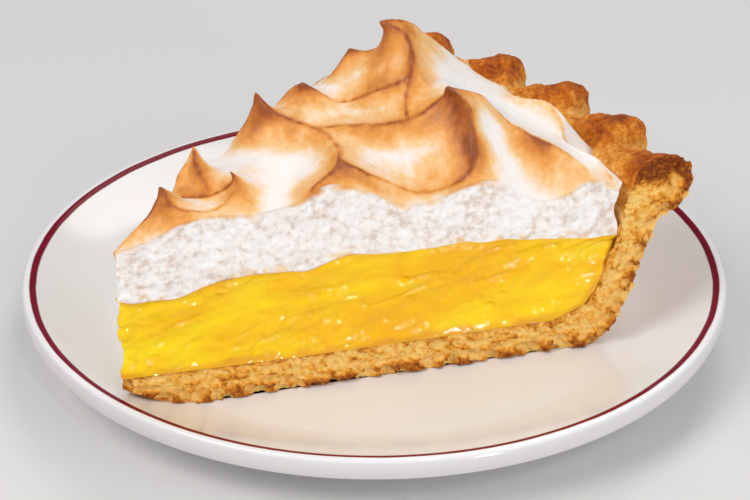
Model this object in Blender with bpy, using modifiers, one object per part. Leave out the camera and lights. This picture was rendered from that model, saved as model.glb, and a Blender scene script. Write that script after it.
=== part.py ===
"""A cut slice of lemon meringue pie on a small rolled-edge plate.

The plate stands on its foot ring, with the origin under its centre. The slice is an eighth of a
nine inch pie. Its point lies towards -X, its fluted rim towards +X, and its centre line runs along +X.
Lengths are metres; the mm() and points() helpers turn millimetres into metres.
"""

import math

import bmesh
import bpy
import numpy as np

COLLECTION_NAME = "lemon_meringue_pie_slice"
CUTTER_COLLECTION_NAME = "cutters"


def mm(*values):
    """Millimetres as metres."""
    scaled = tuple(value * 0.001 for value in values)
    return scaled if len(scaled) > 1 else scaled[0]


def points(*rows):
    """Rows of millimetres as rows of metres."""
    return [mm(*row) for row in rows]


# Plate: heights are above the table, radii from the plate's centre.
PLATE_FLOOR_HEIGHT = mm(9.0)
PLATE_FLOOR_RADIUS = mm(60.0)
RIM_RADIUS = mm(77.0)
RIM_RISE = mm(6.0)
RIM_CURVE = 1.5  # power of the rim's dished rise
RIM_STEPS = 5
ROLL_RADIUS = mm(2.3)  # half the height of the rolled edge
ROLL_STEPS = 6
FOOT_OUTER_RADIUS = mm(46.0)
FOOT_INNER_RADIUS = mm(41.0)
FOOT_FLAT_WIDTH = mm(2.4)
FOOT_HEIGHT = mm(3.2)
PLATE_STEPS = 72

# Slice: its corner, where the two cuts would meet, and the angle between them.
CORNER = mm(-74.2, -9.9)
SLICE_ANGLE = math.radians(45.0)
TIP_RADIUS = mm(1.1)
GAP = mm(0.35)  # between pieces that touch
FILLING_STEPS = 96  # facets in a whole turn of the lemon filling

# Crust: distance from the corner and height above the plate's floor.
CRUST_FLOOR = points((0.5, 7.8), (30, 7.6), (62, 7.4), (93.7, 7.5))
CRUST_INNER_WALL = points((101, 10.6), (104.4, 16), (107.4, 25.1), (108.5, 29), (109.6, 33.5))
CRUST_LIP_INNER = points((110.8, 38.4), (113.4, 42.2))
CRUST_LIP_OUTER = points((118.2, 43.4), (122.4, 41.4), (124.0, 37.8), (122.9, 34.2), (120.6, 31.4))
CRUST_OUTER_WALL = points((116.8, 29.4), (113.8, 20.8), (110.6, 10.4), (107.4, 3.6), (103, 0.2))
CRUST_UNDERSIDE = [mm(s) for s in (86, 62, 36, 22, 16, 11, 6, 0.5)]
LOFT_SPAN = math.radians(50.0)
LOFT_SECTIONS = 45
TIP_LIFT = mm(1.0)  # how far the worn lower corner of the tip clears the plate
TIP_LIFT_REACH = mm(6.0)

# Fluted rim: crowns are pressed outwards and valleys inwards, with this pitch.
FLUTE_PITCH = math.radians(10.0)
FLUTE_PHASE = math.radians(-21.6)  # angle of the crown next to the near cut
FLUTE_SKEW = 0.5  # makes a crown steeper on the side towards the near cut
FLUTE_REACH = mm(2.6)
FLUTE_DROP = mm(3.6)
FLUTE_START = mm(29.0)  # height where the flutes begin, above the lemon filling
FLUTE_FULL = mm(40.0)

# Lemon filling: distance from the corner and height above the plate's floor.
FILLING_TOP = points((0, 25.9), (14, 25.6), (28, 27.8), (49, 28.9), (73, 28.8), (92, 27.2), (107.4, 26.8))

# Meringue: X runs along the near cut from the corner, Y goes into the slice, Z is above the floor.
PEAKS = {
    "summit": (66.2, 29.6, 69.0),
    "front_curl": (77.0, 13.5, 60.0),
    "left_horn": (36.9, 24.0, 58.5),
    "round_knob": (47.0, 27.0, 58.0),
    "summit_shoulder": (59.3, 36.0, 60.6),
    "tip_horn": (21.6, 14.0, 52.8),
    "tip_curl": (13.6, 6.0, 48.5),
    "small_curl": (29.0, 8.5, 49.0),
    "edge_tooth": (49.8, 4.0, 50.3),
    "right_tooth": (92.6, 7.5, 48.0),
    "rim_curl": (99.0, 22.0, 49.8),
    "far_horn": (71.0, 51.0, 52.5),
    "far_rim_curl": (84.0, 54.0, 49.5),
    "far_knob": (50.0, 39.0, 50.0),
    "back_curl": (80.0, 44.0, 53.0),
}
# Each crest hangs between peaks, through the places where it bends.
CRESTS = [
    [(1.5, 0.7, 37.3), (5.0, 2.4, 39.8), (9.2, 4.4, 42.6), (11.5, 5.2, 45.4), "tip_curl"],
    ["tip_curl", (15.5, 7.0, 45.8), (17.6, 8.5, 43.6), (23.3, 7.5, 44.0), (27.4, 8.0, 46.0), "small_curl"],
    ["tip_curl", (13.6, 3.0, 46.0), (16.4, 2.0, 44.3), (20.6, 2.0, 43.3), (24.2, 3.0, 43.8),
     (27.6, 4.8, 46.2), "small_curl"],
    ["tip_horn", (21.0, 12.0, 50.0), (21.3, 10.5, 47.6), (22.8, 8.5, 44.5)],
    ["tip_horn", (19.9, 14.2, 49.6), (17.3, 12.8, 46.9)],
    ["left_horn", (38.6, 23.0, 55.0), (40.9, 21.5, 53.3), (46.7, 17.0, 51.6), (48.8, 14.0, 51.1),
     (50.0, 9.5, 50.1), "edge_tooth"],
    ["left_horn", (35.2, 24.6, 54.0), (33.6, 25.0, 50.4), (31.4, 25.8, 46.6)],
    ["edge_tooth", (53.9, 3.0, 47.3), (57.1, 3.0, 45.3), (60.5, 2.5, 43.3), (64.0, 2.2, 41.5),
     (68.2, 2.0, 41.3), (71.5, 1.6, 42.4), (73.9, 1.6, 43.6), (75.8, 2.0, 46.5), (77.2, 6.0, 52.0),
     (77.1, 10.0, 58.0), "front_curl"],
    ["edge_tooth", (47.5, 3.0, 48.8), (42.2, 1.0, 46.4)],
    ["round_knob", (51.5, 25.0, 54.6), (54.9, 25.0, 52.7), (61.3, 23.0, 55.5), (67.9, 21.5, 58.0)],
    ["round_knob", (45.0, 29.5, 55.5), (42.3, 31.0, 52.0)],
    ["summit_shoulder", (57.0, 34.8, 58.0), (54.3, 35.0, 54.4)],
    ["summit_shoulder", (62.4, 34.0, 59.9), (65.1, 32.0, 62.8), "summit"],
    ["summit", (69.3, 30.0, 68.6), (72.0, 31.3, 66.2), (75.2, 33.0, 62.8), (81.5, 36.0, 56.7),
     (87.5, 35.5, 51.5), (92.9, 34.0, 48.0)],
    ["summit", (69.5, 27.0, 65.0), (69.2, 22.5, 61.8), (67.9, 21.0, 57.7), (66.7, 19.0, 54.9),
     (66.0, 15.5, 52.0)],
    [(46.7, 17.0, 51.6), (51.3, 16.0, 52.0), (60.5, 15.0, 51.7), (66.0, 15.2, 52.0), (69.8, 15.0, 53.5),
     (72.8, 15.0, 55.9), "front_curl"],
    ["front_curl", (81.4, 14.0, 56.7), (84.1, 14.0, 53.2), (87.2, 12.0, 50.0), "right_tooth",
     (98.0, 5.0, 44.7), (101.0, 2.0, 41.6)],
    ["rim_curl", (94.0, 25.0, 49.4), (92.9, 34.0, 48.0)],
    ["rim_curl", (100.3, 18.0, 47.0), (100.5, 12.0, 44.6), (104.5, 5.0, 42.8), (108.0, 1.0, 39.0)],
    ["summit_shoulder", (63.0, 42.0, 55.5), (67.0, 49.0, 53.5), "far_horn"],
    ["far_horn", (78.0, 52.0, 51.5), "far_rim_curl", (90.0, 52.0, 46.5)],
    ["far_knob", (47.0, 37.0, 51.5), (45.0, 29.5, 55.5)],
    ["far_knob", (57.0, 45.0, 50.5), (63.0, 42.0, 55.5)],
    ["back_curl", (76.5, 46.0, 50.4), (73.5, 49.0, 50.6), "far_horn"],
    ["back_curl", (84.0, 41.0, 49.6), (88.0, 38.5, 48.6), (92.9, 34.0, 48.0)],
    ["back_curl", (82.0, 48.5, 48.8), "far_rim_curl"],
    [(84.0, 41.0, 49.6), (88.5, 43.5, 46.8), (93.0, 45.0, 45.4), (98.0, 44.5, 43.2)],
]
NEAR_EDGE = [(0, 37.3), (8.6, 39.5), (15.8, 42.6), (21.9, 43.0), (30, 42.5), (37, 43.5), (41, 45.1),
             (45.5, 47.0), (52.5, 44.7), (60, 40.7), (66, 40.5), (73.6, 42.9), (76.7, 43.7), (81, 43.1),
             (85.5, 39.7), (91, 37.1), (96.5, 38.2), (100.7, 40.6), (109, 38.0)]
FAR_EDGE = [(0, 36.6), (8, 37.4), (15, 38.6), (21, 40.6), (26, 41.8), (33, 43.4), (40, 41.6), (45, 41.8),
            (52, 43.4), (58, 45.2), (64, 43.2), (71, 44.0), (77, 42.6), (82, 40.6), (89, 41.2), (96, 43.8),
            (103, 41.4), (109, 38.6)]
OUTER_EDGE_RADIUS = 109.0
OUTER_EDGE_HEIGHTS = (38.4, 37.6, 36.6, 37.4, 38.4, 38.4)
FILM_STEP = 1.0  # millimetres between the film's grid points
FILM_EDGE = 4.0  # how far the film's grid goes past the slice
FILM_SIZE = (118.0, 90.0)
FILM_SAG = 0.085  # downward load that hollows the scoops between crests
FILM_HOLD = 6.0  # how firmly a crest holds the film
FILM_ROUNDS = 900
TOP_STEP = 2  # film steps between the vertices of the solid's top
MERINGUE_BLOCK_BASE = mm(18.0)
# Peaks that lean over: how far along X and Y their tips go, over which height and radius.
LEANS = {
    "summit": (-2.2, -0.6, 4.0, 5.0),
    "front_curl": (-3.0, -0.8, 5.0, 6.0),
    "left_horn": (-0.6, 0.3, 4.0, 4.0),
    "tip_horn": (-0.4, 0.2, 3.0, 3.0),
    "tip_curl": (-0.9, 0.2, 3.0, 3.0),
    "small_curl": (-1.8, 0.4, 3.5, 3.0),
    "edge_tooth": (-0.8, 0.3, 3.0, 3.0),
}

COLOURS = {
    "plate": ((0.86, 0.83, 0.80), 0.15),
    "crust": ((0.62, 0.34, 0.12), 0.75),
    "lemon_filling": ((0.92, 0.60, 0.02), 0.20),
    "meringue": ((0.90, 0.78, 0.62), 0.60),
}


def clear_scene():
    for old in list(bpy.data.objects):
        bpy.data.objects.remove(old, do_unlink=True)


def new_collection(name, hidden=False):
    collection = bpy.data.collections.new(name)
    collection.hide_render = hidden
    bpy.context.scene.collection.children.link(collection)
    return collection


def make_object(name, mesh, collection):
    made = bpy.data.objects.new(name, mesh)
    collection.objects.link(made)
    return made


def make_cutter(name, mesh, collection):
    cutter = make_object(name, mesh, collection)
    cutter.hide_render = True
    cutter.display_type = "WIRE"
    return cutter


def give_material(target):
    colour, roughness = COLOURS[target.name]
    material = bpy.data.materials.new(target.name)
    material.use_nodes = True
    shader = material.node_tree.nodes["Principled BSDF"]
    shader.inputs["Base Color"].default_value = (*colour, 1.0)
    shader.inputs["Roughness"].default_value = roughness
    shader.inputs["Metallic"].default_value = 0.0
    target.data.materials.append(material)


def smooth_step(low, high, value):
    t = min(1.0, max(0.0, (value - low) / (high - low)))
    return t * t * (3.0 - 2.0 * t)


def profile_mesh(name, profile):
    """An open or closed chain of edges in the XZ plane, for a Screw modifier."""
    mesh = bpy.data.meshes.new(name)
    corners = [(radius, 0.0, height) for radius, height in profile]
    edges = [(i, i + 1) for i in range(len(corners) - 1)]
    mesh.from_pydata(corners, edges, [])
    return mesh


def turn(target, steps):
    """Turns the profile a whole round about the object's Z axis."""
    screw = target.modifiers.new("turn", "SCREW")
    screw.axis = "Z"
    screw.angle = 2.0 * math.pi
    screw.steps = steps
    screw.render_steps = steps
    screw.use_merge_vertices = True
    screw.merge_threshold = 0.00001
    screw.use_smooth_shade = True


def boolean(target, other, operation):
    cut = target.modifiers.new(operation.lower(), "BOOLEAN")
    cut.operation = operation
    cut.object = other
    cut.solver = "EXACT"


def plate_top(radius):
    """Height of the plate's upper surface above the table."""
    beyond = max(0.0, (radius - PLATE_FLOOR_RADIUS) / (RIM_RADIUS - PLATE_FLOOR_RADIUS))
    return PLATE_FLOOR_HEIGHT + RIM_RISE * min(beyond, 1.0) ** RIM_CURVE


def plate_profile():
    """The plate's section: out over the well and rim, round the rolled edge, back by the foot ring."""
    profile = [(0.0, PLATE_FLOOR_HEIGHT)]
    for i in range(RIM_STEPS + 1):
        radius = PLATE_FLOOR_RADIUS + (RIM_RADIUS - PLATE_FLOOR_RADIUS) * i / RIM_STEPS
        profile.append((radius, plate_top(radius)))
    roll_height = profile[-1][1] - ROLL_RADIUS * 0.92
    for i in range(ROLL_STEPS + 1):
        turned = math.radians(72.0 - 160.0 * i / ROLL_STEPS)
        across, up = ROLL_RADIUS * math.cos(turned), ROLL_RADIUS * math.sin(turned)
        profile.append((RIM_RADIUS + across, roll_height + up))
    under_edge = profile[-1]
    shoulder = (FOOT_OUTER_RADIUS + mm(12.0), FOOT_HEIGHT + mm(0.6))
    for share in (0.4, 0.75):
        profile.append(tuple(a + (b - a) * share for a, b in zip(under_edge, shoulder)))
    foot_middle = (FOOT_OUTER_RADIUS + FOOT_INNER_RADIUS) / 2.0
    profile += [
        shoulder,
        (FOOT_OUTER_RADIUS, FOOT_HEIGHT),
        (foot_middle + FOOT_FLAT_WIDTH / 2.0, 0.0),
        (foot_middle - FOOT_FLAT_WIDTH / 2.0, 0.0),
        (FOOT_INNER_RADIUS, FOOT_HEIGHT),
        (0.0, FOOT_HEIGHT),
    ]
    return profile


def make_plate(collection):
    plate = make_object("plate", profile_mesh("plate", plate_profile()), collection)
    turn(plate, PLATE_STEPS)
    return plate


def make_knife(collection):
    """The space between the two cuts, with a blunt tip, as tall as the whole slice."""
    half = SLICE_ANGLE / 2.0
    centre = TIP_RADIUS / math.sin(half)
    arc_steps = 6
    outline = []
    for i in range(arc_steps + 1):
        angle = math.pi / 2.0 + half + (math.pi - 2.0 * half) * i / arc_steps
        outline.append((centre + TIP_RADIUS * math.cos(angle), TIP_RADIUS * math.sin(angle)))
    reach = mm(160.0)
    outline.append((reach * math.cos(half), -reach * math.sin(half)))
    outline.append((reach * math.cos(half), reach * math.sin(half)))
    low, high = mm(-5.0, 120.0)
    bm = bmesh.new()
    base = bm.faces.new([bm.verts.new((x, y, low)) for x, y in outline])
    walls = bmesh.ops.extrude_face_region(bm, geom=[base])
    top = [item for item in walls["geom"] if isinstance(item, bmesh.types.BMVert)]
    bmesh.ops.translate(bm, verts=top, vec=(0.0, 0.0, high - low))
    bmesh.ops.recalc_face_normals(bm, faces=bm.faces)
    mesh = bpy.data.meshes.new("knife")
    bm.to_mesh(mesh)
    bm.free()
    knife = make_cutter("knife", mesh, collection)
    knife.location = (*CORNER, 0.0)
    return knife


def flute(angle, height, distance):
    """Where the fluted rim moves a point of the crust's section: (distance, height)."""
    turned = 2.0 * math.pi * (angle - FLUTE_PHASE) / FLUTE_PITCH
    wave = math.cos(turned + FLUTE_SKEW * math.cos(turned))
    uneven = 1.0 + 0.12 * math.sin(angle * 9.0 + 1.0)
    drop = smooth_step(FLUTE_START, FLUTE_FULL, height) * (wave - 1.0) * uneven
    return distance + FLUTE_REACH * drop, height + FLUTE_DROP * drop / 2.0


def underside_height(x, y, distance):
    """The crust's underside, above the floor: it lies on the plate, and its worn tip clears it."""
    rest = plate_top(math.hypot(CORNER[0] + x, CORNER[1] + y)) - PLATE_FLOOR_HEIGHT + GAP
    return rest + TIP_LIFT * (1.0 - smooth_step(0.0, TIP_LIFT_REACH, distance))


def crust_section(angle):
    """One closed radial section of the crust, in the slice's own frame above the plate's floor."""
    section = []
    outline = CRUST_FLOOR + CRUST_INNER_WALL + CRUST_LIP_INNER + CRUST_LIP_OUTER + CRUST_OUTER_WALL
    for distance, height in outline:
        section.append(flute(angle, height + (GAP if height < mm(1.0) else 0.0), distance))
    ring = [(d * math.cos(angle), d * math.sin(angle), h) for d, h in section]
    for distance in CRUST_UNDERSIDE:
        x, y = distance * math.cos(angle), distance * math.sin(angle)
        ring.append((x, y, underside_height(x, y, distance)))
    return ring


def loft(name, section_at):
    """A closed body through the radial sections that section_at(angle) gives round the corner."""
    bm = bmesh.new()
    rings = []
    for i in range(LOFT_SECTIONS):
        angle = LOFT_SPAN * (i / (LOFT_SECTIONS - 1) - 0.5)
        rings.append([bm.verts.new(corner) for corner in section_at(angle)])
    for first, second in zip(rings, rings[1:]):
        for i in range(len(first)):
            j = (i + 1) % len(first)
            bm.faces.new((first[i], first[j], second[j], second[i]))
    bm.faces.new(rings[0])
    bm.faces.new(rings[-1][::-1])
    bmesh.ops.recalc_face_normals(bm, faces=bm.faces)
    mesh = bpy.data.meshes.new(name)
    bm.to_mesh(mesh)
    bm.free()
    return mesh


def make_crust(collection, knife):
    """Base, wall and fluted rim in one piece, cut by the knife."""
    crust = make_object("crust", loft("crust", crust_section), collection)
    crust.location = (*CORNER, PLATE_FLOOR_HEIGHT)
    boolean(crust, knife, "INTERSECT")
    return crust


def inner_wall(low, high):
    """The crust's inner wall moved in by the gap, between two heights, from low to high."""
    wall = [CRUST_FLOOR[-1]] + CRUST_INNER_WALL + CRUST_LIP_INNER[:1]
    heights = [height for _, height in wall]
    distances = [distance - GAP for distance, _ in wall]
    inside = [height for height in heights if low < height < high]
    return [(float(np.interp(height, heights, distances)), height) for height in [low, *inside, high]]


def make_filling(collection, knife):
    """The lemon layer: from the crust's floor up to its own uneven top."""
    floor = [(distance, height + GAP) for distance, height in CRUST_FLOOR]
    floor[0] = (0.0, floor[0][1])
    top_height = FILLING_TOP[-1][1]
    side = inner_wall(floor[-1][1] + mm(0.4), top_height)
    profile = FILLING_TOP[:-1] + side[::-1] + [(side[0][0] - mm(1.0), floor[-1][1])] + floor[-2::-1]
    filling = make_object("lemon_filling", profile_mesh("lemon_filling", profile), collection)
    filling.location = (*CORNER, PLATE_FLOOR_HEIGHT)
    turn(filling, FILLING_STEPS)
    boolean(filling, knife, "INTERSECT")
    return filling


def space_section(angle):
    """One radial section of the room that the crust and the filling leave for the meringue."""
    ceiling = mm(90.0)
    section = [(distance, height + GAP) for distance, height in FILLING_TOP[:-1]]
    section[0] = (CRUST_FLOOR[0][0], section[0][1])
    for distance, height in inner_wall(FILLING_TOP[-1][1] + GAP, CRUST_LIP_INNER[0][1]):
        section.append(flute(angle, height, distance))
    section.append((section[-1][0], ceiling))
    section.append((section[0][0], ceiling))
    return [(d * math.cos(angle), d * math.sin(angle), h) for d, h in section]


def place_of(stop):
    return PEAKS[stop] if isinstance(stop, str) else stop


def dense(stops, spacing=0.4):
    """A chain of (x, y, z) stops as closely spaced points."""
    stops = np.array(stops, float)
    rows = []
    for start, end in zip(stops, stops[1:]):
        count = max(2, int(np.linalg.norm(end - start) / spacing))
        rows.append(start + (end - start) * np.linspace(0.0, 1.0, count, endpoint=False)[:, None])
    rows.append(stops[-1:])
    return np.concatenate(rows)


def holding_points():
    """All points that hold the meringue's top up: crests, both cut edges and the outer edge."""
    slope = math.cos(SLICE_ANGLE), math.sin(SLICE_ANGLE)
    chains = [[place_of(stop) for stop in crest] for crest in CRESTS]
    chains.append([(distance, 0.0, height) for distance, height in NEAR_EDGE])
    chains.append([(distance * slope[0], distance * slope[1], height) for distance, height in FAR_EDGE])
    outer = []
    for i, height in enumerate(OUTER_EDGE_HEIGHTS):
        angle = SLICE_ANGLE * i / (len(OUTER_EDGE_HEIGHTS) - 1)
        outer.append((OUTER_EDGE_RADIUS * math.cos(angle), OUTER_EDGE_RADIUS * math.sin(angle), height))
    chains.append(outer)
    return np.concatenate([dense(chain) for chain in chains])


def film():
    """Heights of the meringue's top on a grid: a film hung from the crests that sags between them."""
    count_x, count_y = (int(size / FILM_STEP) + 1 for size in FILM_SIZE)
    hold = np.zeros((count_x, count_y))
    target = np.zeros((count_x, count_y))
    for x, y, z in holding_points():
        u, v = (x + FILM_EDGE) / FILM_STEP, (y + FILM_EDGE) / FILM_STEP
        i, j = int(u), int(v)
        for di, share_x in ((0, 1.0 - (u - i)), (1, u - i)):
            for dj, share_y in ((0, 1.0 - (v - j)), (1, v - j)):
                weight = FILM_HOLD * share_x * share_y
                hold[i + di, j + dj] += weight
                target[i + di, j + dj] += weight * z
    heights = np.full((count_x, count_y), 45.0)
    for _ in range(FILM_ROUNDS):
        padded = np.pad(heights, 1, mode="edge")
        around = padded[:-2, 1:-1] + padded[2:, 1:-1] + padded[1:-1, :-2] + padded[1:-1, 2:]
        heights = (around - FILM_SAG * FILM_STEP**2 + target) / (4.0 + hold)
    return heights


def leaned(x, y, z):
    """Moves a point of the top sideways where it belongs to a peak that leans over."""
    for name, (lean_x, lean_y, tall, wide) in LEANS.items():
        peak_x, peak_y, peak_z = PEAKS[name]
        near = math.exp(-((x - peak_x) ** 2 + (y - peak_y) ** 2) / wide**2)
        share = near * smooth_step(peak_z - tall, peak_z, z) ** 1.5
        x += lean_x * share
        y += lean_y * share
    return x, y, z


def make_meringue(collection, cutters, knife):
    """A block whose top is the hung film, cut to the space above the lemon layer and inside the crust."""
    heights = film()[::TOP_STEP, ::TOP_STEP]
    bm = bmesh.new()
    half = SLICE_ANGLE / 2.0
    along, across = (math.cos(half), -math.sin(half)), (math.sin(half), math.cos(half))

    def place(x, y, z):
        x, y = x * 0.001, y * 0.001
        return (x * along[0] + y * across[0], x * along[1] + y * across[1], z)

    count_x, count_y = heights.shape
    top, low = {}, {}
    for i in range(count_x):
        for j in range(count_y):
            x, y = (i * TOP_STEP * FILM_STEP - FILM_EDGE), (j * TOP_STEP * FILM_STEP - FILM_EDGE)
            moved = leaned(x, y, heights[i, j])
            top[i, j] = bm.verts.new(place(moved[0], moved[1], moved[2] * 0.001))
            if i in (0, count_x - 1) or j in (0, count_y - 1):
                low[i, j] = bm.verts.new(place(x, y, MERINGUE_BLOCK_BASE))
    for i in range(count_x - 1):
        for j in range(count_y - 1):
            bm.faces.new((top[i, j], top[i + 1, j], top[i + 1, j + 1], top[i, j + 1]))
    border = [(i, 0) for i in range(count_x)]
    border += [(count_x - 1, j) for j in range(1, count_y)]
    border += [(i, count_y - 1) for i in range(count_x - 2, -1, -1)]
    border += [(0, j) for j in range(count_y - 2, 0, -1)]
    for first, second in zip(border, border[1:] + border[:1]):
        bm.faces.new((top[first], low[first], low[second], top[second]))
    bm.faces.new([low[corner] for corner in border][::-1])
    bmesh.ops.recalc_face_normals(bm, faces=bm.faces)
    mesh = bpy.data.meshes.new("meringue")
    bm.to_mesh(mesh)
    bm.free()
    meringue = make_object("meringue", mesh, collection)
    meringue.location = (*CORNER, PLATE_FLOOR_HEIGHT)

    space = make_cutter("meringue_space", loft("meringue_space", space_section), cutters)
    space.location = meringue.location
    boolean(space, knife, "INTERSECT")
    boolean(meringue, space, "INTERSECT")
    return meringue


def main():
    clear_scene()
    slice_parts = new_collection(COLLECTION_NAME)
    cutters = new_collection(CUTTER_COLLECTION_NAME, hidden=True)
    knife = make_knife(cutters)
    plate = make_plate(slice_parts)
    crust = make_crust(slice_parts, knife)
    filling = make_filling(slice_parts, knife)
    meringue = make_meringue(slice_parts, cutters, knife)
    for part in (plate, crust, filling, meringue):
        give_material(part)
        part.data.shade_smooth()


main()
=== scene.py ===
"""Looks of a cut slice of lemon meringue pie on a small rolled-edge plate.

Shapes are worked out in the slice's own frame, in millimetres: X runs along the near cut from the
corner where the cuts meet, Y goes into the slice and Z is height above the plate's floor.
to_world() takes them to the shared frame, in metres.
"""

import math

import bpy
import numpy as np
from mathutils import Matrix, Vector


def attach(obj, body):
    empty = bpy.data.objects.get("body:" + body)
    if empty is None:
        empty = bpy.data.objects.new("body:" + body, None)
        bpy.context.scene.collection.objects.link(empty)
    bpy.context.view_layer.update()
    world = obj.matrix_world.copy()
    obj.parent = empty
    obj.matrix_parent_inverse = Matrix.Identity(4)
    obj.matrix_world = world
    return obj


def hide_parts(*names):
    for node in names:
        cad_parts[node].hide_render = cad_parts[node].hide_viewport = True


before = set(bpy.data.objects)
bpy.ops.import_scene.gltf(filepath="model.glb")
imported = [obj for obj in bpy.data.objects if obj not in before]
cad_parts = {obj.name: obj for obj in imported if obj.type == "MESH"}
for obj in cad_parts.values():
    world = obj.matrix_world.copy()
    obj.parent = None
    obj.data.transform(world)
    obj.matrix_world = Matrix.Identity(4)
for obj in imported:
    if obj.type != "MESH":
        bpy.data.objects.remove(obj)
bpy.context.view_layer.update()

MM = 0.001

# Plate, in millimetres above the table and from the plate's centre.
PLATE_FLOOR_HEIGHT = 9.0
PLATE_FLOOR_RADIUS = 60.0
RIM_RADIUS = 77.0
RIM_RISE = 6.0
RIM_CURVE = 1.5
ROLL_WIDTH, ROLL_HEIGHT = 1.0, 2.3  # half the size of the rolled edge
PLATE_RADIUS = 79.28
FOOT_OUTER_RADIUS, FOOT_INNER_RADIUS = 46.0, 41.0
FOOT_FLAT_WIDTH, FOOT_HEIGHT = 2.4, 3.2
LINE_RADIUS, LINE_WIDTH = 76.8, 1.6
PLATE_STEPS = 256

# Slice.
CORNER = (-74.2, -9.9)
SLICE_ANGLE = math.radians(45.0)
GAP = 0.1  # between pieces that touch
REFERENCE_RADIUS = 109.0  # distance from the corner at which the meringue's film ends

# Crust sections, as distance from the corner and height above the floor.
CRUST_FLOOR = [(0, 8.3), (10, 8.0), (30, 7.6), (62, 7.4), (93.7, 7.5)]
CRUST_INNER_WALL = [(101, 10.6), (104.4, 16), (107.4, 25.1), (108.5, 29), (109.6, 33.5), (110.8, 38.4)]
CRUST_LIP_TOP = (116.2, 43.6)
CRUST_INNER_LIP = [(112.6, 41.8)]
CRUST_OUTER_LIP = [(120.6, 31.4), (122.9, 34.2), (124.0, 37.8), (122.4, 41.4), (119.6, 43.2)]
CRUST_OUTER_WALL = [(103, 0.0), (107.4, 3.6), (110.6, 10.4), (113.8, 20.8), (116.8, 29.4)]
CRUST_TIP = (1.4, 0.3)  # radius of the blunt tip, and how far it is pushed out, as in the tips below
TIP_LIFT, TIP_LIFT_REACH = 1.0, 6.0
FLUTE_PITCH = math.radians(10.0)
FLUTE_PHASE = math.radians(0.9)  # angle of the crown next to the near cut
FLUTE_SKEW = 0.5  # makes a crown steeper on the side towards the near cut
FLUTE_REACH, FLUTE_DROP = 2.6, 3.6
FLUTE_START, FLUTE_FULL = 29.0, 40.0

FILLING_TOP = [(0, 26.3), (6, 25.7), (13, 25.4), (20, 27.3), (28, 28.2), (34, 28.0), (39, 27.7), (44, 28.8),
               (49, 29.7), (57, 28.9), (66, 28.9), (73, 29.1), (86, 28.4), (95, 27.1), (107.4, 26.6)]
FILLING_AT_WALL = (8.0, 26.6)  # lowest and highest point of the filling's outer side
FILLING_TIP = (1.8, 1.6)
MERINGUE_TIP = (1.1, 0.2)

# Mesh points along, across and up each piece.
CRUST_POINTS = (390, 170, 24)
CRUST_BASE_SHARE = 0.62  # of the points along, those that lie on the base
FILLING_POINTS = (400, 16, 88)
MERINGUE_POINTS = (270, 190, 42)

# Relief of the surfaces, in millimetres.
FOAM_SWELL, FOAM_LUMPS, FOAM_PORES, FOAM_BUBBLES = 0.25, 0.60, 0.40, 0.40
SKIN_RIPPLES, SKIN_WAVES = 0.12, 0.16
LIP_PUSH = (-0.9, -1.1)  # of the crests, in X and Y
FOAM_END_SHIFT = (-2.2, 0.8)  # where the near cut meets the crust, in X and Y
GEL_SWELL, GEL_WAVES, GEL_FOLDS, GEL_RIPPLES, GEL_BEADS, GEL_TIP = 0.45, 0.75, 0.45, 0.70, 0.60, 0.7
CUT_FLAKES, CUT_FISSURES, CUT_ROUGHNESS, CUT_CRUMBS, CUT_WEAR = 0.40, 0.35, 0.60, 1.9, 0.8
DOUGH_SWELLS, DOUGH_GRIT, DOUGH_WRINKLES, DOUGH_BLISTERS = 0.70, 0.28, 0.50, 0.25

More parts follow.
